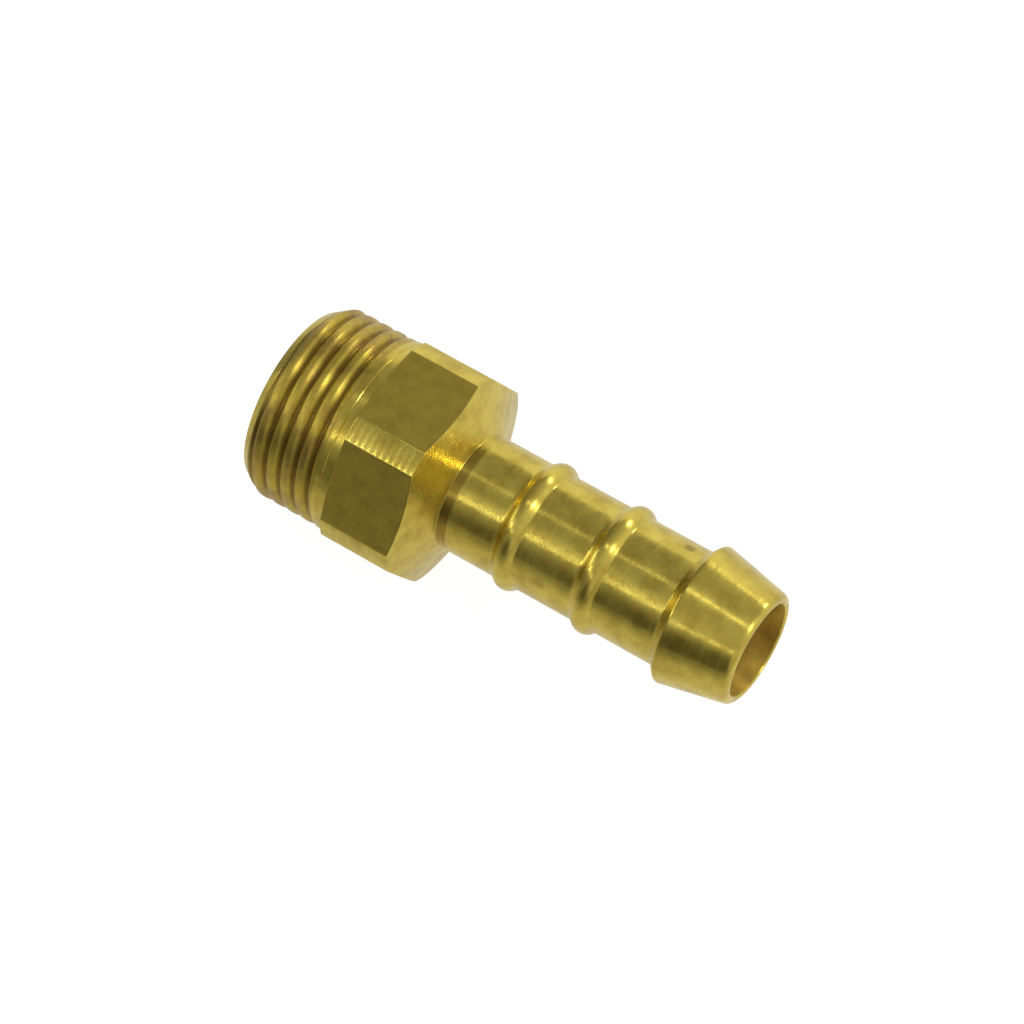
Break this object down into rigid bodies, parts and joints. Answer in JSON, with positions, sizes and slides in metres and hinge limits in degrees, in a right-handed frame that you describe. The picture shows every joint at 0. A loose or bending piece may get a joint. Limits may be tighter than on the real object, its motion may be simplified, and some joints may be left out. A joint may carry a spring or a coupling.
{
  "type": "hose barb tail",
  "caption": "Straight turned brass hose tail: a parallel male pipe thread, a spanner hexagon and a beaded tube with a barbed head, bored through.",
  "frame": {"origin": "on the bore's axis, in the plane of the shoulder where the hexagon starts behind the thread", "axes": "+X along the bore, from the thread towards the hose; +Z is the normal of the hexagon's upper flat, so the fitting lies on its lower flat"},
  "size_m": [0.0429, 0.0186, 0.017],
  "materials": {
    "turned_brass": "bright machined brass, satin on the hexagon's drawn flats"
  },
  "bodies": {
    "root": {"hose_tail": "turned_brass"}
  },
  "joints": []
}
